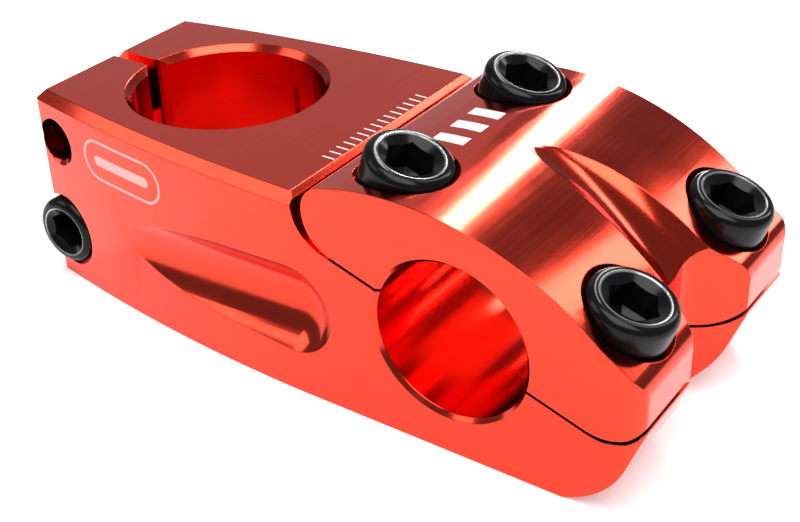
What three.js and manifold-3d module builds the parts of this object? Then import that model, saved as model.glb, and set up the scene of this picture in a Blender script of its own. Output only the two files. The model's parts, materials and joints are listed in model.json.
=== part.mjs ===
// Top-load handlebar stem: a machined body that clamps the fork's steerer tube,
// a cap that clamps the handlebar from above, four cap bolts and two pinch bolts.
// Millimetres. +X points forwards, to the handlebar, +Y to the rider's left, +Z up.
// Everything is drawn with the handlebar's axis through (0, 0), and moved at the end
// so that the origin is under the middle of the whole stem, on its flat bottom.

import * as THREE from "three";
import { mergeVertices } from "three/addons/utils/BufferGeometryUtils.js";
import Module from "manifold-3d";

// Driving dimensions

const REACH = 53;                 // steerer axis to handlebar axis, along X
const STEERER_DIAMETER = 28.6;
const BAR_DIAMETER = 22.2;
const STACK_HEIGHT = 31;          // flat bottom to flat top of the body
const BAR_HEIGHT = 17.1;          // handlebar axis above the flat bottom
const CLAMP_WIDTH = 45;           // across the handlebar clamp
const REAR_WIDTH = 33;            // across the rear face
const SIDE_STRAIGHT = 20;         // the sides are parallel to this far behind the bar axis
const REAR_WALL = 9.6;            // rear face behind the steerer bore
const REAR_TOP_CHAMFER = 1.6;
const FRONT_WALL = 15.5;          // front face ahead of the handlebar bore
const PARTING_TILT = 18;          // degrees that the cap's joint slopes down forwards
const PARTING_RISE = 0.6;         // joint's height over the handlebar axis
const PARTING_GAP = 0.5;          // open joint between the cap and the body
const EDGE_CHAMFER = 1.4;
const BORE_CHAMFER = 1.0;
const BAR_BORE_CHAMFER = 0.6;

// Pinch slot and pinch bolts
const SLOT_WIDTH = 2.2;
const SLOT_FLARE = 1.25;           // corners taken off where the slot meets the bore
const SLOT_TOP_CHAMFER = 1;
const PINCH_SHANK = 6;
const PINCH_LENGTH = 24;
const PINCH_SPACING = 15.4;       // between the two bolts, up the stem
const PINCH_RISE = 0.5;           // their middle above the body's
const PINCH_BORE_WALL = 2.8;      // metal between the steerer bore and a pinch hole
const PINCH_HEAD_PROUD = 1.2;     // head above the side face, at the bolt's axis

// Cap and its bolts
const ARCH_RADIUS = 43;
const ARCH_RISE = 17.9;           // top of the arch above the handlebar axis
const ARCH_SETBACK = 8;           // top of the arch behind the handlebar axis
const NOSE_SETBACK = 22.1;        // cap's rear face behind the handlebar axis
const NOSE_TOP_RADIUS = 4;
const NOSE_TOP_LAND = 0.8;        // flat between that rounding and the arch
const NOSE_TOP_RISE = 0.3;        // rounding's corner above the arch
const NOSE_LOW_RADIUS = 6;
const FRONT_LOW_RADIUS = 6.9;     // the joint turns upwards ahead of the front bolts
const FRONT_LOW_EXIT = 50;        // degrees that it climbs at where it leaves the front face
const LEDGE_HEIGHT = 3;           // front of the ledge ahead of the front bolts, above the bar axis
const LEDGE_DEPTH = 5.7;
const LEDGE_EDGE_RADIUS = 3.4;
const STEP_GAP = 1.9;             // top face's front wall to the cap's rear face
const STEP_RADIUS = 7;
const STEP_CHAMFER = 0.7;
const CAP_SHANK = 8;
const CAP_BOLT_LENGTH = 16.6;
const CAP_BOLT_SPREAD = 29;       // left to right, between bolt axes
const CAP_BOLT_REAR = 15.9;       // rear bolts behind the handlebar axis, along the joint
const CAP_BOLT_FRONT = 17.1;      // front bolts ahead of it
const CAP_SEAT = 7.9;             // counterbore floor above the joint

// Socket heads
const CAP_HEAD = { diameter: 12, height: 8, flats: 6, rim: 8.8 };
const PINCH_HEAD = { diameter: 10.8, height: 7, flats: 5.5, rim: 7.8 };
const HEAD_EDGE_RADIUS = 1.3;
const SOCKET_DEPTH = 4.6;
const SOCKET_RIM_DEPTH = 0.8;
const TIP_CHAMFER = 0.7;

// Fits
const HEAD_CLEARANCE = 0.5;       // round a head in its counterbore
const SHANK_CLEARANCE = 0.3;      // round a shank in its hole
const SEAT_CLEARANCE = 0.3;       // under a head
const HOLE_END = 0.8;             // blind hole beyond the bolt's tip
const HOLE_CHAMFER = 0.4;

// Side scoops
const SCOOP_RADIUS = 7.8;
const SCOOP_DEPTH = 4;            // at its front end
const SCOOP_FRONT = 25.2;         // centre of the round front end behind the bar axis
const SCOOP_REAR = 57;            // where it fades out
const SCOOP_DROP = 3.7;           // centreline below the handlebar axis

// Groove on the cap and recess in the front
const GROOVE_TIP = -1;            // tip's X
const GROOVE_RADIUS = 6.5;        // ball-end cutter that made it
const GROOVE_DIVE = 8.5;          // degrees that it goes down steeper than the arch
const RECESS_DEPTH = 7.2;
const RECESS_HALF_WIDTH = 4.4;    // at its back
const RECESS_FLARE = 4.4;         // wider by this each side at the front face
const RECESS_INNER_RADIUS = 3.8;
const RECESS_OUTER_RADIUS = 2;

// Lower front of the body
const FOOT_SETBACK = 9.9;         // front of the flat bottom behind the front face
const FOOT_RADIUS = 1.5;
const CHIN_SETBACK = 3.6;
const CHIN_HEIGHT = 2.8;          // above the flat bottom
const CHIN_RADIUS = 13;
const CHIN_TOP_DROP = 4.4;        // the front face leans back from this far below the bar axis
const FRONT_CORNER_RADIUS = 2;
const REAR_CORNER_RADIUS = 1;

// How finely curves are drawn, and how far a cut runs past what it cuts
const ROUND = 72;                 // sides of a bore
const BOLT_ROUND = 40;            // sides of a bolt
const SCOOP_ROUND = 36;
const GROOVE_ROUND = 40;
const GROOVE_STEPS = 160;         // round the whole ring
const CORNER_STEPS = 9;           // on a rounded corner
const SIDE_STEPS = 12;            // along a curved side
const ARCH_STEPS = 18;
const HEAD_EDGE_STEPS = 3;
const PAST = 5;

// Sizes worked out from the driving ones

const top = STACK_HEIGHT - BAR_HEIGHT;
const bottom = -BAR_HEIGHT;
const middle = (top + bottom) / 2;
const boreRadius = STEERER_DIAMETER / 2;
const barRadius = BAR_DIAMETER / 2;
const front = barRadius + FRONT_WALL;
const rear = -REACH - boreRadius - REAR_WALL;
const halfWidth = CLAMP_WIDTH / 2;
const stepX = -NOSE_SETBACK - STEP_GAP;
const tilt = THREE.MathUtils.degToRad(PARTING_TILT);
const exit = THREE.MathUtils.degToRad(FRONT_LOW_EXIT);
const pinchX = -REACH - boreRadius - PINCH_BORE_WALL - SHANK_CLEARANCE - PINCH_SHANK / 2;
const sideInset = (CLAMP_WIDTH - REAR_WIDTH) / 2;
const sideRun = -SIDE_STRAIGHT - rear;
const sideRadius = (sideRun ** 2 + sideInset ** 2) / (2 * sideInset);

// Half width of the body at x: parallel ahead of SIDE_STRAIGHT, then a long arc inwards.
function halfWidthAt(x) {
  const behind = Math.max(0, -SIDE_STRAIGHT - x);
  return halfWidth - sideRadius + Math.sqrt(sideRadius ** 2 - behind ** 2);
}

// A point given along and above the sloping joint, as [x, z].
function onJoint(along, above) {
  return [
    along * Math.cos(tilt) + above * Math.sin(tilt),
    -along * Math.sin(tilt) + above * Math.cos(tilt),
  ];
}

// Height of the joint's sloping part at x, when it is moved up or down by offset.
function jointHeight(x, offset) {
  return PARTING_RISE + offset / Math.cos(tilt) - x * Math.tan(tilt);
}

// The corner, as [x, z, radius], that the joint rounds as it turns up to the front face.
function frontLowCorner(offset) {
  const centreX = front - FRONT_LOW_RADIUS * Math.sin(exit);
  const radius = FRONT_LOW_RADIUS - offset;
  const tangent = radius * Math.tan((tilt + exit) / 2);
  const x = centreX - radius * Math.sin(tilt) + tangent * Math.cos(tilt);
  return [x, jointHeight(x, offset), radius];
}

// Height at x of the joint's climbing end, ahead of that corner.
function climbHeight(x, offset) {
  const [cornerX, cornerZ] = frontLowCorner(offset);
  return cornerZ + (x - cornerX) * Math.tan(exit);
}

function archHeight(x) {
  return ARCH_RISE - ARCH_RADIUS + Math.sqrt(ARCH_RADIUS ** 2 - (x + ARCH_SETBACK) ** 2);
}

// Solids: three.js geometries joined and cut by manifold-3d

const wasm = await Module();
wasm.setup();

function toSolid(geometry) {
  const bare = geometry.index ? geometry.toNonIndexed() : geometry.clone();
  bare.deleteAttribute("normal");
  bare.deleteAttribute("uv");
  const merged = mergeVertices(bare, 1e-5);
  return new wasm.Manifold(new wasm.Mesh({
    numProp: 3,
    vertProperties: new Float32Array(merged.attributes.position.array),
    triVerts: new Uint32Array(merged.index.array),
  }));
}

function toGeometry(solid) {
  const mesh = solid.getMesh();
  const geometry = new THREE.BufferGeometry();
  geometry.setAttribute("position", new THREE.BufferAttribute(mesh.vertProperties, 3));
  geometry.setIndex(new THREE.BufferAttribute(mesh.triVerts, 1));
  geometry.computeVertexNormals();
  return geometry;
}

function cut(solid, tools) {
  return tools.reduce((left, tool) => left.subtract(tool), solid);
}

// An outline whose corners are [x, y] or [x, y, radius], each rounded by its radius.
function roundedShape(corners) {
  const shape = new THREE.Shape();
  corners.forEach(([x, y, radius = 0], i) => {
    const corner = new THREE.Vector2(x, y);
    const before = new THREE.Vector2(...corners.at(i - 1).slice(0, 2)).sub(corner).normalize();
    const after = new THREE.Vector2(...corners[(i + 1) % corners.length].slice(0, 2))
      .sub(corner)
      .normalize();
    const half = Math.acos(THREE.MathUtils.clamp(before.dot(after), -1, 1)) / 2;
    const start = corner.clone().addScaledVector(before, radius / Math.tan(half));
    if (i === 0) {
      shape.moveTo(start.x, start.y);
    } else {
      shape.lineTo(start.x, start.y);
    }
    if (radius === 0) {
      return;
    }
    const centre = before.clone().add(after).normalize()
      .multiplyScalar(radius / Math.sin(half))
      .add(corner);
    const end = corner.clone().addScaledVector(after, radius / Math.tan(half));
    const from = Math.atan2(start.y - centre.y, start.x - centre.x);
    const to = Math.atan2(end.y - centre.y, end.x - centre.x);
    const turnsRight = before.cross(after) > 0;
    shape.absarc(centre.x, centre.y, radius, from, to, turnsRight);
  });
  shape.closePath();
  return shape;
}

// A side-view outline (x, z) made solid across the stem, from one side to the other.
function acrossStem(shape, width) {
  const geometry = new THREE.ExtrudeGeometry(shape, {
    depth: width, bevelEnabled: false, curveSegments: CORNER_STEPS,
  });
  geometry.rotateX(Math.PI / 2);
  geometry.translate(0, width / 2, 0);
  return toSolid(geometry);
}

// A plan outline (x, y) made solid from one height to another.
function upStem(shape, low, high) {
  const geometry = new THREE.ExtrudeGeometry(shape, {
    depth: high - low, bevelEnabled: false, curveSegments: CORNER_STEPS,
  });
  geometry.translate(0, 0, low);
  return toSolid(geometry);
}

// A round solid about +Z through the origin, from a profile of [radius, z] that starts
// and ends on the axis.
function turned(profile, sides = BOLT_ROUND) {
  const points = profile.map(([radius, z]) => new THREE.Vector2(radius, z));
  const geometry = new THREE.LatheGeometry(points, sides);
  geometry.rotateX(Math.PI / 2);
  return toSolid(geometry);
}

// A bore's cutter about +Z: a cylinder from low to high, with both rims chamfered.
function boreCutter(radius, low, high, chamfer, sides) {
  return turned([
    [0, low - PAST],
    [radius + chamfer + PAST, low - PAST],
    [radius, low + chamfer],
    [radius, high - chamfer],
    [radius + chamfer + PAST, high + PAST],
    [0, high + PAST],
  ], sides);
}

function placed(solid, { x = 0, y = 0, z = 0, rx = 0, ry = 0 }) {
  const matrix = new THREE.Matrix4().makeRotationFromEuler(new THREE.Euler(rx, ry, 0));
  matrix.setPosition(x, y, z);
  return solid.transform(matrix.elements);
}

// Where each bolt sits

const capBolts = [
  ["cap_bolt_rear_left", -CAP_BOLT_REAR, CAP_BOLT_SPREAD / 2],
  ["cap_bolt_rear_right", -CAP_BOLT_REAR, -CAP_BOLT_SPREAD / 2],
  ["cap_bolt_front_left", CAP_BOLT_FRONT, CAP_BOLT_SPREAD / 2],
  ["cap_bolt_front_right", CAP_BOLT_FRONT, -CAP_BOLT_SPREAD / 2],
].map(([name, along, y]) => {
  const [x, z] = onJoint(along, CAP_SEAT);
  const at = { x, y, z, ry: tilt };
  return { name, at, shank: CAP_SHANK, length: CAP_BOLT_LENGTH, head: CAP_HEAD };
});

// A pinch head lies on its side: side is +1 where it is on the rider's left.
const pinchFloor = halfWidthAt(pinchX) + PINCH_HEAD_PROUD - PINCH_HEAD.height;
const pinchBolts = [
  ["pinch_bolt_upper", middle + PINCH_RISE + PINCH_SPACING / 2, 1],
  ["pinch_bolt_lower", middle + PINCH_RISE - PINCH_SPACING / 2, -1],
].map(([name, z, side]) => ({
  name,
  shank: PINCH_SHANK,
  length: PINCH_LENGTH,
  head: PINCH_HEAD,
  at: { x: pinchX, y: side * pinchFloor, z, rx: -side * Math.PI / 2 },
}));

// Bolts, drawn head up with the underside of the head at z = 0

function hexSocket(head) {
  const corner = head.flats / Math.sqrt(3);
  const hexagon = new THREE.CylinderGeometry(corner, corner, SOCKET_DEPTH + PAST, 6);
  hexagon.rotateX(Math.PI / 2);
  hexagon.translate(0, 0, head.height - SOCKET_DEPTH + (SOCKET_DEPTH + PAST) / 2);
  const rim = turned([
    [0, head.height - SOCKET_RIM_DEPTH],
    [head.flats / 2, head.height - SOCKET_RIM_DEPTH],
    [head.rim / 2, head.height],
    [head.rim / 2, head.height + PAST],
    [0, head.height + PAST],
  ]);
  return toSolid(hexagon).add(rim);
}

function boltSolid(shank, length, head) {
  const radius = shank / 2;
  const headRadius = head.diameter / 2;
  const edge = Array.from({ length: HEAD_EDGE_STEPS + 1 }, (_, i) => {
    const angle = (i / HEAD_EDGE_STEPS) * Math.PI / 2;
    return [
      headRadius - HEAD_EDGE_RADIUS * (1 - Math.cos(angle)),
      head.height - HEAD_EDGE_RADIUS * (1 - Math.sin(angle)),
    ];
  });
  const blank = turned([
    [0, -length],
    [radius - TIP_CHAMFER, -length],
    [radius, -length + TIP_CHAMFER],
    [radius, SEAT_CLEARANCE],
    [headRadius, SEAT_CLEARANCE],
    ...edge,
    [0, head.height],
  ]);
  return blank.subtract(hexSocket(head));
}

// Holes for a bolt: a counterbore over its head and a hole round its shank

function counterbore(bolt) {
  const radius = bolt.head.diameter / 2 + HEAD_CLEARANCE;
  const well = turned([
    [0, 0],
    [radius, 0],
    [radius, bolt.head.height + PAST],
    [0, bolt.head.height + PAST],
  ]);
  return placed(well, bolt.at);
}

function shankHole(bolt, length) {
  const radius = bolt.shank / 2 + SHANK_CLEARANCE;
  const hole = turned([[0, -length], [radius, -length], [radius, PAST], [0, PAST]]);
  return placed(hole, bolt.at);
}

// A pinch bolt's hole leaves the far side through a chamfered mouth.
function openMouth(bolt) {
  const radius = bolt.shank / 2 + SHANK_CLEARANCE;
  const depth = pinchFloor + halfWidthAt(pinchX);
  const mouth = turned([
    [0, -depth - PAST],
    [radius + HOLE_CHAMFER + PAST, -depth - PAST],
    [radius, -depth + HOLE_CHAMFER],
    [0, -depth + HOLE_CHAMFER],
  ]);
  return placed(mouth, bolt.at);
}

// Outlines

function planShape() {
  const curved = Array.from({ length: SIDE_STEPS }, (_, i) => {
    const x = -SIDE_STRAIGHT - sideRun * (i / SIDE_STEPS);
    return [x, halfWidthAt(x)];
  });
  const left = [
    [front, halfWidth, FRONT_CORNER_RADIUS],
    ...curved,
    [rear, REAR_WIDTH / 2, REAR_CORNER_RADIUS],
  ];
  const right = left.map(([x, y, radius]) => [x, -y, radius]).reverse();
  return roundedShape([...left, ...right]);
}

// The body's two long sides with their top edges chamfered, open at both ends.
function chamferedSides() {
  const left = Array.from({ length: SIDE_STEPS + 1 }, (_, i) => {
    const x = -SIDE_STRAIGHT - (sideRun + PAST) * (i / SIDE_STEPS);
    return new THREE.Vector2(x, halfWidthAt(x));
  });
  left.unshift(new THREE.Vector2(front + PAST, halfWidth));
  const right = left.map(({ x, y }) => new THREE.Vector2(x, -y)).reverse();
  const geometry = new THREE.ExtrudeGeometry(new THREE.Shape([...left, ...right]), {
    depth: STACK_HEIGHT + PAST,
    bevelEnabled: true,
    bevelSegments: 1,
    bevelSize: EDGE_CHAMFER,
    bevelThickness: EDGE_CHAMFER,
    bevelOffset: -EDGE_CHAMFER,
  });
  geometry.translate(0, 0, bottom - PAST - EDGE_CHAMFER);
  return toSolid(geometry);
}

function bodySide() {
  return roundedShape([
    [rear - PAST, bottom],
    [front - FOOT_SETBACK, bottom, FOOT_RADIUS],
    [front - CHIN_SETBACK, bottom + CHIN_HEIGHT, CHIN_RADIUS],
    [front, -CHIN_TOP_DROP],
    [front, top],
    [rear + REAR_TOP_CHAMFER, top],
    [rear - PAST, top - REAR_TOP_CHAMFER - PAST],
  ]);
}

// The space over the body that the cap sits in, open upwards.
function capPocket() {
  const lowered = -PARTING_GAP / 2;
  const ahead = front + PAST;
  const above = top + PAST;
  return roundedShape([
    [stepX, jointHeight(stepX, lowered), STEP_RADIUS],
    frontLowCorner(lowered),
    [ahead, climbHeight(ahead, lowered)],
    [ahead, above],
    [stepX - STEP_CHAMFER - (above - top), above],
    [stepX, top - STEP_CHAMFER],
  ]);
}

function capSide() {
  const raised = PARTING_GAP / 2;
  const noseTop = archHeight(-NOSE_SETBACK) + NOSE_TOP_RISE;
  const archStart = -NOSE_SETBACK + NOSE_TOP_RADIUS + NOSE_TOP_LAND;
  const archEnd = front - LEDGE_DEPTH;
  const arch = Array.from({ length: ARCH_STEPS + 1 }, (_, i) => {
    const x = archEnd + (archStart - archEnd) * (i / ARCH_STEPS);
    return [x, archHeight(x)];
  });
  return roundedShape([
    [-NOSE_SETBACK, jointHeight(-NOSE_SETBACK, raised), NOSE_LOW_RADIUS],
    frontLowCorner(raised),
    [front, climbHeight(front, raised)],
    [front, LEDGE_HEIGHT, LEDGE_EDGE_RADIUS],
    ...arch,
    [-NOSE_SETBACK, noseTop, NOSE_TOP_RADIUS],
  ]);
}

// Cuts

function barBore() {
  const cutter = boreCutter(barRadius, -halfWidth, halfWidth, BAR_BORE_CHAMFER, ROUND);
  return placed(cutter, { rx: Math.PI / 2 });
}

function steererBore() {
  const cutter = boreCutter(boreRadius, bottom, top, BORE_CHAMFER, ROUND);
  return placed(cutter, { x: -REACH });
}

function pinchSlot() {
  const half = SLOT_WIDTH / 2;
  const meet = -REACH - Math.sqrt(boreRadius ** 2 - (half + SLOT_FLARE) ** 2);
  const plan = roundedShape([
    [rear - PAST, half],
    [meet - SLOT_FLARE, half, SLOT_FLARE],
    [meet + SLOT_FLARE, half + 2 * SLOT_FLARE],
    [meet + SLOT_FLARE, -half - 2 * SLOT_FLARE],
    [meet - SLOT_FLARE, -half, SLOT_FLARE],
    [rear - PAST, -half],
  ].reverse());
  const straight = upStem(plan, bottom - PAST, top + PAST);
  const veeHalf = half + SLOT_TOP_CHAMFER + PAST;
  const vee = new THREE.Shape([
    new THREE.Vector2(0, -half),
    new THREE.Vector2(veeHalf, veeHalf - half),
    new THREE.Vector2(-veeHalf, veeHalf - half),
  ]);
  const geometry = new THREE.ExtrudeGeometry(vee, {
    depth: REAR_WALL + PAST + boreRadius, bevelEnabled: false,
  });
  geometry.rotateX(Math.PI / 2);
  geometry.rotateZ(-Math.PI / 2);
  geometry.translate(rear - PAST, 0, top - SLOT_TOP_CHAMFER);
  return straight.add(toSolid(geometry));
}

function sideScoop(side) {
  const offset = SCOOP_RADIUS - SCOOP_DEPTH;
  const startY = side * (halfWidthAt(-SCOOP_FRONT) + offset);
  const endY = side * (halfWidthAt(-SCOOP_REAR) + SCOOP_RADIUS);
  const start = new THREE.Vector3(-SCOOP_FRONT, startY, -SCOOP_DROP);
  const end = new THREE.Vector3(-SCOOP_REAR, endY, -SCOOP_DROP);
  const along = end.clone().sub(start);
  const geometry = new THREE.CapsuleGeometry(
    SCOOP_RADIUS, along.length(), CORNER_STEPS, SCOOP_ROUND,
  );
  const turn = new THREE.Quaternion().setFromUnitVectors(
    new THREE.Vector3(0, 1, 0), along.clone().normalize(),
  );
  geometry.applyQuaternion(turn);
  geometry.translate(...start.add(end).multiplyScalar(0.5).toArray());
  return toSolid(geometry);
}

// The groove is what a ball-end cutter leaves as it swings down over the arch: a ring
// about Y whose inside touches the arch at the groove's tip and dives below it ahead.
function capGroove() {
  const tip = new THREE.Vector2(GROOVE_TIP, archHeight(GROOVE_TIP));
  const archSlope = Math.asin((GROOVE_TIP + ARCH_SETBACK) / ARCH_RADIUS);
  const slope = archSlope + THREE.MathUtils.degToRad(GROOVE_DIVE);
  const ring = ARCH_RADIUS + GROOVE_RADIUS;
  const geometry = new THREE.TorusGeometry(ring, GROOVE_RADIUS, GROOVE_ROUND, GROOVE_STEPS);
  geometry.rotateX(Math.PI / 2);
  geometry.translate(
    tip.x - ARCH_RADIUS * Math.sin(slope), 0, tip.y - ARCH_RADIUS * Math.cos(slope),
  );
  return toSolid(geometry);
}

function frontRecess() {
  const back = front - RECESS_DEPTH;
  const outer = RECESS_HALF_WIDTH + RECESS_FLARE;
  const left = [
    [back, RECESS_HALF_WIDTH, RECESS_INNER_RADIUS],
    [front, outer, RECESS_OUTER_RADIUS],
    [front + PAST, outer + 2 * PAST],
  ];
  const right = left.map(([x, y, radius]) => [x, -y, radius]).reverse();
  return upStem(roundedShape([...right, ...left].reverse()), bottom - PAST, top + PAST);
}

// Pieces

function stemBody() {
  const blank = acrossStem(bodySide(), CLAMP_WIDTH + 2 * PAST)
    .intersect(upStem(planShape(), bottom - PAST, top + PAST))
    .intersect(chamferedSides());
  return cut(blank, [
    acrossStem(capPocket(), CLAMP_WIDTH + 2 * PAST),
    barBore(),
    steererBore(),
    pinchSlot(),
    frontRecess(),
    sideScoop(1),
    sideScoop(-1),
    ...capBolts.map((bolt) => shankHole(bolt, bolt.length + HOLE_END)),
    ...pinchBolts.map((bolt) => shankHole(bolt, 2 * halfWidth)),
    ...pinchBolts.map(counterbore),
    ...pinchBolts.map(openMouth),
  ]);
}

function barClampCap() {
  const blank = acrossStem(capSide(), CLAMP_WIDTH + 2 * PAST)
    .intersect(upStem(planShape(), bottom, top + ARCH_RISE));
  return cut(blank, [
    barBore(),
    capGroove(),
    frontRecess(),
    ...capBolts.map(counterbore),
    ...capBolts.map((bolt) => shankHole(bolt, bolt.length)),
  ]);
}

// Materials and the finished stem

function anodisedRed() {
  return new THREE.MeshStandardMaterial({ color: 0xc81e1a, roughness: 0.3, metalness: 0.9 });
}

function blackSteel() {
  return new THREE.MeshStandardMaterial({ color: 0x141414, roughness: 0.35, metalness: 0.7 });
}

function piece(name, solid, material) {
  const mesh = new THREE.Mesh(toGeometry(solid), material);
  mesh.name = name;
  return mesh;
}

function bolt({ name, shank, length, head, at }) {
  const mesh = piece(name, boltSolid(shank, length, head), blackSteel());
  mesh.position.set(at.x, at.y, at.z);
  mesh.rotation.set(at.rx ?? 0, at.ry ?? 0, 0);
  return mesh;
}

const stem = new THREE.Group();
stem.add(piece("stem_body", stemBody(), anodisedRed()));
stem.add(piece("bar_clamp_cap", barClampCap(), anodisedRed()));
stem.add(...capBolts.map(bolt));
stem.add(...pinchBolts.map(bolt));

const box = new THREE.Box3().setFromObject(stem, true);
stem.position.set(-(box.min.x + box.max.x) / 2, -(box.min.y + box.max.y) / 2, BAR_HEIGHT);

export default stem;
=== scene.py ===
# %% [markdown]
# # Handlebar stem
#
# A top-load bicycle stem: a machined body that clamps the fork's steerer tube, a cap that
# clamps the handlebar, four cap bolts and two pinch bolts. The body and the cap are milled
# from aluminium bar and then dyed red by anodising. The bolts are black steel.
#
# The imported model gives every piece's place, and its joints say how the pieces move. Each
# cell below makes one piece or one finish. Lengths are in metres.

import json
from math import cos, pi, radians, sin, sqrt, tan

import bmesh
import bpy
from mathutils import Euler, Matrix, Vector


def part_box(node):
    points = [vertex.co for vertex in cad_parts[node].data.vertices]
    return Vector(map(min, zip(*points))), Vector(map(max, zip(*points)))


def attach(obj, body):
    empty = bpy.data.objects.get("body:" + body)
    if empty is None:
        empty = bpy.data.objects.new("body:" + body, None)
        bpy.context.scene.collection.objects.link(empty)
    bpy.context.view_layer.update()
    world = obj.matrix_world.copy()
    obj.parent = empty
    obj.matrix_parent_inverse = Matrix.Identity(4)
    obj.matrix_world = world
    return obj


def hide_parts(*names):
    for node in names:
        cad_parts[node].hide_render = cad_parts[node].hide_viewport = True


MM = 0.001

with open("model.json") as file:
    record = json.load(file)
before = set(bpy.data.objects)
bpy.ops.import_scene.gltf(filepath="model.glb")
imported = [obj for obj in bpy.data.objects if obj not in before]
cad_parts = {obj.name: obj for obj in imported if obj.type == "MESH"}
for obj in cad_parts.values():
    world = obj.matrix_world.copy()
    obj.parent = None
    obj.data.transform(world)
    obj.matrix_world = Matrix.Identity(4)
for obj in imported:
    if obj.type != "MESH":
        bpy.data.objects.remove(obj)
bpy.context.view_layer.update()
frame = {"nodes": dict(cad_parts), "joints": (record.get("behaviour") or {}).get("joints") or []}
joints = {joint["name"]: joint for joint in frame["joints"]}
print("nodes:", sorted(frame["nodes"]))

# %% [markdown]
# ## Camera
#
# A short telephoto view from ahead and above, with the stem's right side nearest. The
# camera stands about 20 cm away, so the handlebar clamp looks clearly larger than the rear.

# %% Camera
camera = bpy.data.objects.new("camera", bpy.data.cameras.new("camera"))
bpy.context.scene.collection.objects.link(camera)
camera.location = Vector((103.62, -141.85, 117.26)) * MM
camera.rotation_euler = Euler((radians(58.27), radians(1.54), radians(34.3)))
camera.data.sensor_width = 36
camera.data.lens = 62.96
camera.data.clip_start = 0.01
camera.data.clip_end = 20
bpy.context.scene.camera = camera
print("camera looks at the stem from", [round(c / MM) for c in camera.location], "mm")

# %% [markdown]
# ## Small helpers for materials
#
# Every finish here is a node tree. These helpers make one node in one line: settings by
# keyword, and sockets by name, each with a number or with another node's output.

# %% Helpers: nodes


def node(tree, kind, sockets=(), **settings):
    made = tree.nodes.new("ShaderNode" + kind)
    for name, value in settings.items():
        setattr(made, name, value)
    for name, value in dict(sockets).items():
        if isinstance(value, bpy.types.NodeSocket):
            tree.links.new(value, made.inputs[name])
        else:
            made.inputs[name].default_value = value
    return made


def maths(tree, operation, a, b=0.0, clamp=False):
    made = node(tree, "Math", {0: a, 1: b}, operation=operation, use_clamp=clamp)
    return made.outputs[0]


def ramp(tree, value, low, high, to_low=0.0, to_high=1.0):
    """Value taken from low..high to to_low..to_high, and held at the ends."""
    sockets = {
        "Value": value,
        "From Min": low,
        "From Max": high,
        "To Min": to_low,
        "To Max": to_high,
    }
    return node(tree, "MapRange", sockets).outputs["Result"]


def mix_colour(tree, share, first, second):
    made = node(tree, "Mix", {0: share, 6: first, 7: second}, data_type="RGBA")
    return made.outputs[2]


def noise(tree, place, stretch, detail=3.0):
    """Noise with that many features to the metre along X, Y and Z."""
    scaled = node(tree, "Mapping", {"Vector": place, "Scale": stretch})
    sockets = {"Vector": scaled.outputs[0], "Scale": 1.0, "Detail": detail}
    return node(tree, "TexNoise", sockets).outputs["Fac"]


def new_material(name):
    """A material, its emptied node tree and its object coordinates."""
    material = bpy.data.materials.new(name)
    material.use_nodes = True
    material.node_tree.nodes.clear()
    return material, material.node_tree, node(material.node_tree, "TexCoord")


def finish_material(tree, shader):
    output = node(tree, "OutputMaterial")
    tree.links.new(shader.outputs[0], output.inputs["Surface"])


# %% [markdown]
# ## Floor and light
#
# The stem stands on a sheet of white acrylic that is lit from below as well as above, which
# is why its shadows are so weak. The floor itself is what the near side reflects.

# %% Floor
FLOOR_SIDE = 6.0
FLOOR_GLOW = 0.34

floor_mesh = bmesh.new()
bmesh.ops.create_grid(floor_mesh, x_segments=1, y_segments=1, size=FLOOR_SIDE / 2)
floor = bpy.data.objects.new("floor", bpy.data.meshes.new("floor"))
floor_mesh.to_mesh(floor.data)
floor_mesh.free()
bpy.context.scene.collection.objects.link(floor)

floor_material, tree, place = new_material("lit_acrylic")
haze = noise(tree, place.outputs["Object"], (60, 60, 60))
acrylic = node(
    tree,
    "BsdfPrincipled",
    {
        "Base Color": (0.86, 0.86, 0.87, 1),
        "Roughness": ramp(tree, haze, 0.3, 0.7, 0.24, 0.3),
        "Specular IOR Level": 0.45,
        "Emission Color": (1.0, 1.0, 1.0, 1),
        "Emission Strength": FLOOR_GLOW,
    },
)
finish_material(tree, acrylic)
floor.data.materials.append(floor_material)
print("floor is", FLOOR_SIDE, "m square")

# %% [markdown]
# The lamps are softboxes. Each is given by the direction it is seen in from the stem, and
# always faces it. The narrow strip makes the white streak across the cap's arch, and the
# front panel a second band beside the front bolts. The far panel is what the flat top
# reflects. The overhead one lights the floor, and the near one the long top chamfer.

# %% Softboxes
STEM_MIDDLE = Vector((0, 0, 17)) * MM


def softbox(name, direction, distance, size, radiance):
    """A rectangular lamp. Radiance is how bright it looks; its power follows from its area."""
    light = bpy.data.lights.new(name, "AREA")
    light.shape = "RECTANGLE"
    light.size, light.size_y = size
    light.energy = radiance * pi * size[0] * size[1]
    lamp = bpy.data.objects.new(name, light)
    bpy.context.scene.collection.objects.link(lamp)
    towards = Vector(direction).normalized()
    lamp.location = STEM_MIDDLE + towards * distance
    lamp.rotation_euler = towards.to_track_quat("Z", "Y").to_euler()
    print(f"{name}: {light.energy:.2f} W, radiance {radiance}")
    return lamp


softbox("streak_strip", (-0.21, 0.69, 0.69), 0.9, (0.09, 0.9), 22.0)
softbox("front_panel", (0.35, 0.69, 0.63), 0.9, (0.13, 0.7), 6.0)
softbox("far_panel", (-0.62, 0.66, 0.43), 0.9, (0.45, 0.7), 0.28)
softbox("overhead_panel", (0.25, -0.25, 0.94), 0.9, (0.75, 0.75), 4.8)
softbox("near_side_panel", (-0.65, -0.44, 0.62), 1.0, (0.5, 0.4), 2.2)

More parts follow.
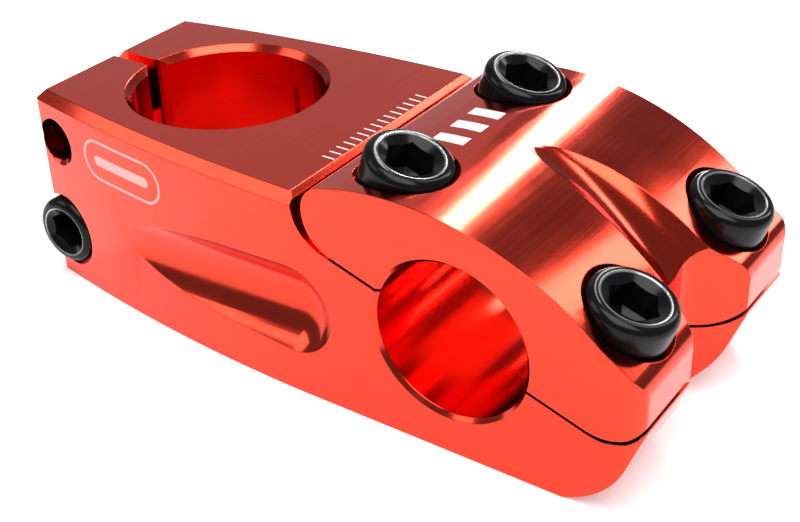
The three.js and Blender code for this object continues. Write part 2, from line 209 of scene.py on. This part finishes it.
# %% World
world = bpy.data.worlds.new("studio")
world.use_nodes = True
world.node_tree.nodes.clear()
sky = node(world.node_tree, "Background", {"Color": (0.5, 0.5, 0.52, 1), "Strength": 0.36})
sky_output = node(world.node_tree, "OutputWorld")
world.node_tree.links.new(sky.outputs[0], sky_output.inputs["Surface"])
bpy.context.scene.world = world
bpy.context.scene.view_settings.view_transform = "Standard"
print("world is a plain dim room")

# %% [markdown]
# ## Anodised aluminium
#
# Anodising leaves a clear oxide layer, which takes the red dye, over bright metal. So the
# metal's reflections are red while the oxide adds a thin white one. Milling leaves fine
# lines, along Y on the faces cut from above and along X on the two sides. Both bores were
# turned, and show rings. Corners catch the light, because tumbling rounds them slightly.
#
# The marks are plain shapes where the dye is bleached away: a capsule on the right side, a
# row of ticks on the flat top, and three stripes on the cap.

# %% Where the bores are, and what is marked on the metal
BAR_AXIS = Vector((26.1, 0, 17.1)) * MM
STEERER_AXIS = Vector((-26.9, 0, 0)) * MM
BAR_RADIUS = 11.1 * MM
STEERER_RADIUS = 14.3 * MM
RED = (0.84, 0.058, 0.026, 1)
PALE = (0.82, 0.80, 0.78, 1)
EDGE_ROUNDING = 0.22 * MM
ROUNDING_SAMPLES = 6
WALL_REACH = 0.15 * MM

CAPSULE_X = BAR_AXIS.x - 57.0 * MM
CAPSULE_Z = 24.2 * MM
CAPSULE_STRAIGHT = 5.2 * MM
CAPSULE_RADIUS = 3.1 * MM
CAPSULE_LINE = 0.2 * MM
CAPSULE_CORE = 0.8 * MM
CAPSULE_FADE = 0.4
TICKS_X = BAR_AXIS.x - 26.0 * MM
TICKS_Y = -0.2 * MM
TICK_PITCH = 1.6 * MM
TICK_HALF_WIDTH = 0.15 * MM
TICK_HALF_LENGTH = 1.0 * MM
TICKS_HALF_ROW = 12 * MM
STRIPES_X = BAR_AXIS.x - 10.8 * MM
STRIPE_PITCH = 4.4 * MM
STRIPE_HALF_WIDTH = 1.1 * MM
STRIPE_HALF_LENGTH = 2.4 * MM
STRIPES_HALF_ROW = 6.3 * MM


def near(tree, value, centre, half, soft=0.04 * MM):
    """1 where value is within half of centre, and 0 beyond."""
    away = maths(tree, "ABSOLUTE", maths(tree, "SUBTRACT", value, centre))
    return ramp(tree, away, half - soft, half + soft, 1.0, 0.0)


def bore_share(tree, across, along, radius):
    """1 on a bore's wall and 0 elsewhere, from the two distances off its axis."""
    squares = maths(tree, "ADD", maths(tree, "POWER", across, 2), maths(tree, "POWER", along, 2))
    return near(tree, maths(tree, "SQRT", squares), radius, WALL_REACH)


def capsule_outline(tree, x, z):
    """A generic mark: the outline of a capsule, on the side behind the scoop."""
    beyond = maths(tree, "ABSOLUTE", maths(tree, "SUBTRACT", x, CAPSULE_X))
    beyond = maths(tree, "MAXIMUM", maths(tree, "SUBTRACT", beyond, CAPSULE_STRAIGHT), 0.0)
    above = maths(tree, "SUBTRACT", z, CAPSULE_Z)
    squares = maths(tree, "ADD", maths(tree, "POWER", beyond, 2), maths(tree, "POWER", above, 2))
    radius = maths(tree, "SQRT", squares)
    outline = near(tree, radius, CAPSULE_RADIUS, CAPSULE_LINE)
    inner = near(tree, radius, 0.0, CAPSULE_CORE)
    return maths(tree, "MAXIMUM", outline, inner)


def repeated(tree, value, pitch, half_width):
    """1 on a stroke of that half width at every pitch, and 0 between them."""
    wrapped = node(tree, "Math", {0: value, 1: pitch / 2, 2: -pitch / 2}, operation="WRAP")
    return near(tree, wrapped.outputs[0], 0.0, half_width)


def top_ticks(tree, x, y):
    """A generic mark: a row of fine ticks beside the top face's front edge."""
    stroke = repeated(tree, y, TICK_PITCH, TICK_HALF_WIDTH)
    row = near(tree, y, TICKS_Y, TICKS_HALF_ROW)
    length = near(tree, x, TICKS_X, TICK_HALF_LENGTH)
    return maths(tree, "MULTIPLY", maths(tree, "MULTIPLY", stroke, row), length)


def cap_stripes(tree, x, y):
    """A generic mark: three short stripes across the cap between its rear bolts."""
    stroke = repeated(tree, y, STRIPE_PITCH, STRIPE_HALF_WIDTH)
    row = near(tree, y, 0.0, STRIPES_HALF_ROW)
    length = near(tree, x, STRIPES_X, STRIPE_HALF_LENGTH)
    return maths(tree, "MULTIPLY", maths(tree, "MULTIPLY", stroke, row), length)


# %% The finish itself
LINES_ACROSS = (3200, 45, 3200)
LINES_ALONG = (40, 1500, 2600)
STEERER_RINGS = (30, 30, 4200)
BAR_RINGS = (30, 4200, 30)
CLOUD = (90, 90, 90)
DEEP_SHARE = 0.93
MARK_ROUGHER = 0.25
MARK_LESS_METAL = 0.6


def anodised(name, marks):
    material, tree, coordinates = new_material(name)
    place = coordinates.outputs["Object"]
    split = node(tree, "SeparateXYZ", {"Vector": place}).outputs
    x, y, z = split[0], split[1], split[2]
    facing = node(tree, "SeparateXYZ", {"Vector": coordinates.outputs["Normal"]}).outputs
    sideways = ramp(tree, maths(tree, "ABSOLUTE", facing[1]), 0.6, 0.8)

    lines_across = noise(tree, place, LINES_ACROSS)
    lines_along = noise(tree, place, LINES_ALONG)
    lines = node(tree, "Mix", {0: sideways, 2: lines_across, 3: lines_along}).outputs[0]
    steerer = bore_share(
        tree, maths(tree, "SUBTRACT", x, STEERER_AXIS.x), y, STEERER_RADIUS
    )
    bar = bore_share(
        tree,
        maths(tree, "SUBTRACT", x, BAR_AXIS.x),
        maths(tree, "SUBTRACT", z, BAR_AXIS.z),
        BAR_RADIUS,
    )
    steerer_rings = noise(tree, place, STEERER_RINGS)
    bar_rings = noise(tree, place, BAR_RINGS)
    lines = node(tree, "Mix", {0: steerer, 2: lines, 3: steerer_rings}).outputs[0]
    lines = node(tree, "Mix", {0: bar, 2: lines, 3: bar_rings}).outputs[0]

    cloud = noise(tree, place, CLOUD, 2.0)
    roughness = ramp(tree, lines, 0.3, 0.7, 0.12, 0.16)
    roughness = maths(tree, "ADD", roughness, ramp(tree, cloud, 0.3, 0.7, -0.02, 0.03))
    shade = ramp(tree, lines, 0.35, 0.65, 0.0, 1.0)
    deep = tuple(channel * DEEP_SHARE for channel in RED[:3]) + (1,)
    colour = mix_colour(tree, shade, deep, RED)
    mark = marks(tree, x, y, z, facing)
    colour = mix_colour(tree, mark, colour, PALE)
    roughness = maths(tree, "ADD", roughness, maths(tree, "MULTIPLY", mark, MARK_ROUGHER))
    metallic = maths(tree, "SUBTRACT", 1.0, maths(tree, "MULTIPLY", mark, MARK_LESS_METAL))

    rounded = node(tree, "Bevel", {"Radius": EDGE_ROUNDING}, samples=ROUNDING_SAMPLES)
    bump = node(
        tree,
        "Bump",
        {
            "Strength": 0.25,
            "Distance": 0.003 * MM,
            "Height": lines,
            "Normal": rounded.outputs[0],
        },
    )
    metal = node(
        tree,
        "BsdfPrincipled",
        {
            "Base Color": colour,
            "Metallic": metallic,
            "Roughness": roughness,
            "Coat Weight": 0.22,
            "Coat Roughness": 0.1,
            "Coat IOR": 1.5,
            "Normal": bump.outputs[0],
            "Coat Normal": rounded.outputs[0],
        },
    )
    finish_material(tree, metal)
    return material


def body_marks(tree, x, y, z, facing):
    right = ramp(tree, facing[1], -0.85, -0.8, 1.0, 0.0)
    outside = ramp(tree, y, -15.5 * MM, -15 * MM, 1.0, 0.0)
    right = maths(tree, "MULTIPLY", right, outside)
    upwards = ramp(tree, facing[2], 0.9, 0.95)
    right = maths(tree, "MULTIPLY", right, CAPSULE_FADE)
    on_side = maths(tree, "MULTIPLY", capsule_outline(tree, x, z), right)
    on_top = maths(tree, "MULTIPLY", top_ticks(tree, x, y), upwards)
    return maths(tree, "MAXIMUM", on_side, on_top)


def cap_marks(tree, x, y, z, facing):
    upwards = ramp(tree, facing[2], 0.8, 0.85)
    return maths(tree, "MULTIPLY", cap_stripes(tree, x, y), upwards)


body_finish = anodised("anodised_body", body_marks)
cap_finish = anodised("anodised_cap", cap_marks)
print("finishes:", body_finish.name, cap_finish.name)

# %% [markdown]
# ## Body and cap
#
# Both were milled from solid bar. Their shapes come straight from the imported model, whose
# faces are loose triangles: a copy is merged into one skin, its flat faces are made whole,
# and only edges sharper than a set angle are left crisp.

# %% Helpers: pieces
MERGE = 0.002 * MM
FLAT_ANGLE = radians(0.6)
CRISP_ANGLE = radians(15)


def new_piece(name, mesh_in_progress, body, material):
    """The finished mesh as a named object that rides on its body."""
    piece = bpy.data.objects.new(name, bpy.data.meshes.new(name))
    mesh_in_progress.to_mesh(piece.data)
    mesh_in_progress.free()
    piece.data.materials.append(material)
    bpy.context.scene.collection.objects.link(piece)
    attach(piece, body)
    return piece


def keep_crisp(mesh, angle=CRISP_ANGLE):
    """Faces are shaded smoothly, except across edges sharper than angle."""
    for face in mesh.faces:
        face.smooth = True
    for edge in mesh.edges:
        edge.smooth = edge.is_manifold and edge.calc_face_angle(pi) < angle


def milled_copy(name, node_name, body, material):
    mesh = bmesh.new()
    mesh.from_mesh(frame["nodes"][node_name].data)
    bmesh.ops.remove_doubles(mesh, verts=mesh.verts, dist=MERGE)
    bmesh.ops.dissolve_limit(
        mesh, angle_limit=FLAT_ANGLE, verts=mesh.verts, edges=mesh.edges
    )
    keep_crisp(mesh)
    open_edges = sum(not edge.is_manifold for edge in mesh.edges)
    print(f"{name}: {len(mesh.faces)} faces, {open_edges} open edges")
    piece = new_piece(name, mesh, body, material)
    piece.modifiers.new("flat_faces_flat", "WEIGHTED_NORMAL").keep_sharp = True
    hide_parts(node_name)
    return piece


milled_copy("milled_body", "stem_body", "stem", body_finish)
milled_copy("milled_cap", "bar_clamp_cap", "cap", cap_finish)

# %% [markdown]
# ## Black steel
#
# The bolts have a black oxide finish: nearly black and a little glossy with oil. The fine
# ring of bright bare steel round the socket's mouth, in patches, is a painted highlight:
# it stands in for the glint of light on the mouth's edge.

# %% Black oxide
STEEL_EDGE_ROUNDING = 0.15 * MM
GRAIN = (2600, 2600, 2600)
BLOTCH = (260, 260, 260)
DARK_OXIDE = (0.003, 0.003, 0.0035, 1)
LIGHT_OXIDE = (0.007, 0.007, 0.008, 1)
GLINT_STEEL = (0.5, 0.49, 0.48, 1)


def black_oxide():
    material, tree, coordinates = new_material("black_oxide")
    place = coordinates.outputs["Object"]
    grain = noise(tree, place, GRAIN, 4.0)
    blotch = noise(tree, place, BLOTCH, 2.0)
    # This mask and the bright steel it brings in are a painted highlight: they stand in for the
    # glint on the socket mouth's edge.
    mouth_glint = node(tree, "Attribute", attribute_name="mouth_glint").outputs["Fac"]
    patch = ramp(tree, blotch, 0.35, 0.6, 0.25, 1.0)
    mouth_glint = maths(tree, "MULTIPLY", mouth_glint, patch)
    oxide = mix_colour(tree, grain, DARK_OXIDE, LIGHT_OXIDE)
    colour = mix_colour(tree, mouth_glint, oxide, GLINT_STEEL)
    fine = ramp(tree, grain, 0.3, 0.7, 0.13, 0.2)
    roughness = maths(tree, "ADD", fine, ramp(tree, blotch, 0.3, 0.7, -0.03, 0.05))
    rounded = node(tree, "Bevel", {"Radius": STEEL_EDGE_ROUNDING}, samples=ROUNDING_SAMPLES)
    bump = node(
        tree,
        "Bump",
        {"Strength": 0.3, "Distance": 0.01 * MM, "Height": grain, "Normal": rounded.outputs[0]},
    )
    steel = node(
        tree,
        "BsdfPrincipled",
        {
            "Base Color": colour,
            "Metallic": maths(tree, "MULTIPLY", mouth_glint, 0.9),
            "Roughness": roughness,
            "Specular IOR Level": 0.2,
            "Normal": bump.outputs[0],
        },
    )
    finish_material(tree, steel)
    return material


black_finish = black_oxide()
print("finish:", black_finish.name)

# %% [markdown]
# ## Bolts
#
# Socket head screws. The blank is turned, so it is a profile spun about its axis. The
# hexagon is driven in with a punch, which leaves a countersunk mouth round it. The thread is
# rolled: here it is a small ridge swept down the shank as a helix over a plain core.

# %% Bolt sizes
CAP_BOLT = {
    "shank": 8.0 * MM,
    "length": 16.6 * MM,
    "pitch": 1.25 * MM,
    "head": 12.0 * MM,
    "height": 8.0 * MM,
    "flats": 6.0 * MM,
    "mouth": 8.8 * MM,
}
PINCH_BOLT = {
    "shank": 6.0 * MM,
    "length": 24.0 * MM,
    "pitch": 1.0 * MM,
    "head": 10.8 * MM,
    "height": 7.0 * MM,
    "flats": 5.5 * MM,
    "mouth": 7.8 * MM,
}
SEAT = 0.3 * MM
HEAD_ROUNDING = 1.3 * MM
HEAD_CORNER_STEPS = 8
SEAT_CHAMFER = 0.25 * MM
MOUTH_DEPTH = 0.8 * MM
MOUTH_BREAK = 0.06 * MM
# Width of the narrow rim at the socket's mouth, which also bounds the painted highlight there.
GLINT_RIM_WIDTH = 0.12 * MM
SOCKET_DEPTH = 4.6 * MM
PUNCH_SLOPE = radians(25)
THREAD_DEPTH = 0.61
PLAIN_SHARE = 0.25
RUNOUT = 0.3 * MM
RIDGE_FOOT = 0.47
RIDGE_CREST = 0.06
RIDGE_SUNK = 0.1 * MM
AROUND = 96
THREAD_AROUND = 36
AXIS = Vector((0, 0, 1))
CENTRE = Vector((0, 0, 0))


def chain(mesh, points):
    """Vertices at those (radius, height) points, joined in a line."""
    verts = [mesh.verts.new((radius, 0, height)) for radius, height in points]
    edges = [mesh.edges.new(pair) for pair in zip(verts, verts[1:])]
    return verts + edges


def mouth_height(size, inwards):
    """Height of the countersunk mouth's cone, that far in from its outer edge."""
    slope = MOUTH_DEPTH / (size["mouth"] / 2 - size["flats"] / 2)
    return size["height"] - MOUTH_BREAK - inwards * slope


def thread_root(size):
    """Radius at the bottom of the thread: its depth is a set share of the pitch."""
    return size["shank"] / 2 - THREAD_DEPTH * size["pitch"]


def turned_blank(mesh, size):
    """The bolt's outside, from the middle of its tip to the socket's mouth."""
    radius = size["shank"] / 2
    root = thread_root(size)
    plain_from = -PLAIN_SHARE * size["length"]
    head = size["head"] / 2
    turns = [step * pi / 2 / HEAD_CORNER_STEPS for step in range(HEAD_CORNER_STEPS + 1)]
    corner = [
        (
            head - HEAD_ROUNDING * (1 - cos(turn)),
            size["height"] - HEAD_ROUNDING * (1 - sin(turn)),
        )
        for turn in turns
    ]
    profile = [
        (0, -size["length"]),
        (0.8 * root, -size["length"]),
        (root, -size["length"] + 0.2 * radius),
        (root, plain_from - RUNOUT),
        (radius, plain_from),
        (radius, SEAT),
        (head - SEAT_CHAMFER, SEAT),
        (head, SEAT + SEAT_CHAMFER),
        *corner,
        (size["mouth"] / 2 + GLINT_RIM_WIDTH, size["height"]),
        (size["mouth"] / 2, size["height"] - MOUTH_BREAK),
        (size["mouth"] / 2 - GLINT_RIM_WIDTH, mouth_height(size, GLINT_RIM_WIDTH)),
    ]
    bmesh.ops.spin(
        mesh,
        geom=chain(mesh, profile),
        cent=CENTRE,
        axis=AXIS,
        angle=2 * pi,
        steps=AROUND,
        use_merge=True,
    )
    bmesh.ops.remove_doubles(mesh, verts=mesh.verts, dist=0.0005 * MM)
    print("  blank:", len(mesh.verts), "vertices")


def hexagon_loop(mesh, size):
    """A hexagon with a vertex for each one round the mouth, set on the mouth's cone."""
    clear_above = Matrix.Translation(AXIS * 2 * size["height"])
    corner_radius = size["flats"] / sqrt(3)
    made = bmesh.ops.create_circle(mesh, segments=6, radius=corner_radius, matrix=clear_above)
    edges = list({edge for vert in made["verts"] for edge in vert.link_edges})
    bmesh.ops.subdivide_edges(mesh, edges=edges, cuts=AROUND // 6 - 1)
    verts = [vert for vert in mesh.verts if vert.co.z > 1.5 * size["height"]]
    for vert in verts:
        vert.co.z = mouth_height(size, size["mouth"] / 2 - vert.co.xy.length)
    return {edge for vert in verts for edge in vert.link_edges}


def hexagon_socket(mesh, size):
    """The countersunk mouth, the six flats, and the punch's conical floor."""
    mouth = {edge for edge in mesh.edges if edge.is_boundary}
    hexagon = hexagon_loop(mesh, size)
    bmesh.ops.bridge_loops(mesh, edges=list(mouth | hexagon))
    rim = [edge for edge in hexagon if edge.is_boundary]
    floor_height = size["height"] - SOCKET_DEPTH
    walls = bmesh.ops.extrude_edge_only(mesh, edges=rim)["geom"]
    lower = [item for item in walls if isinstance(item, bmesh.types.BMVert)]
    for vert in lower:
        vert.co.z = floor_height
    base = [item for item in walls if isinstance(item, bmesh.types.BMEdge)]
    base = [edge for edge in base if edge.is_boundary]
    floor_face = bmesh.ops.contextual_create(mesh, geom=base)["faces"]
    poked = bmesh.ops.poke(mesh, faces=floor_face)["verts"]
    poked[0].co.z -= size["flats"] / 2 * tan(PUNCH_SLOPE)
    print("  socket:", len(rim), "points round the hexagon")


def thread(mesh, size):
    """A ridge swept down the shank as a helix, closed at both ends."""
    radius = size["shank"] / 2
    foot = thread_root(size) - RIDGE_SUNK
    pitch = size["pitch"]
    start = -size["length"] + 0.6 * pitch
    turns = int(((1 - PLAIN_SHARE) * size["length"] - 1.2 * pitch) / pitch)
    ridge = [
        mesh.verts.new((foot, 0, start - RIDGE_FOOT * pitch)),
        mesh.verts.new((radius, 0, start - RIDGE_CREST * pitch)),
        mesh.verts.new((radius, 0, start + RIDGE_CREST * pitch)),
        mesh.verts.new((foot, 0, start + RIDGE_FOOT * pitch)),
    ]
    first = mesh.faces.new(ridge)
    made = bmesh.ops.spin(
        mesh,
        geom=[first],
        cent=CENTRE,
        axis=AXIS,
        dvec=AXIS * (pitch / THREAD_AROUND),
        angle=2 * pi * turns,
        steps=THREAD_AROUND * turns,
    )
    print("  thread:", turns, "turns,", len(made["geom_last"]), "items at its end")


def bolt(name, node_name, joint_name, seat, size):
    mesh = bmesh.new()
    print(name)
    turned_blank(mesh, size)
    hexagon_socket(mesh, size)
    # The mouth's rim gets a mask for the painted highlight: bright steel standing in for the
    # glint on its edge.
    mouth_glint = mesh.verts.layers.float.new("mouth_glint")
    for vert in mesh.verts:
        outwards = vert.co.xy.length - size["mouth"] / 2
        on_rim = abs(outwards - GLINT_RIM_WIDTH / 2) < 0.6 * GLINT_RIM_WIDTH
        on_rim = on_rim and vert.co.z > size["height"] - MOUTH_DEPTH / 2
        vert[mouth_glint] = 1.0 if on_rim else 0.0
    thread(mesh, size)
    bmesh.ops.recalc_face_normals(mesh, faces=mesh.faces)
    keep_crisp(mesh)
    axis = Vector(joints[joint_name]["axis"]).normalized()
    turn = axis.to_track_quat("Z", "Y").to_matrix().to_4x4()
    bmesh.ops.transform(mesh, matrix=Matrix.Translation(seat) @ turn, verts=mesh.verts)
    piece = new_piece(name, mesh, joints[joint_name]["child"], black_finish)
    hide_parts(node_name)
    return piece


# %% The six bolts
for corner in ("rear_left", "rear_right", "front_left", "front_right"):
    joint_name = f"cap_bolt_{corner}_turn"
    seat = Vector(joints[joint_name]["pos_m"])
    bolt(f"screw_{corner}", f"cap_bolt_{corner}", joint_name, seat, CAP_BOLT)

for place in ("upper", "lower"):
    joint_name = f"pinch_bolt_{place}_turn"
    node_name = f"pinch_bolt_{place}"
    axis = Vector(joints[joint_name]["axis"])
    low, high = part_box(node_name)
    top_y = high.y if axis.y > 0 else low.y
    seat = Vector(joints[joint_name]["pos_m"])
    seat.y = top_y - axis.y * PINCH_BOLT["height"]
    bolt(f"screw_{place}", node_name, joint_name, seat, PINCH_BOLT)
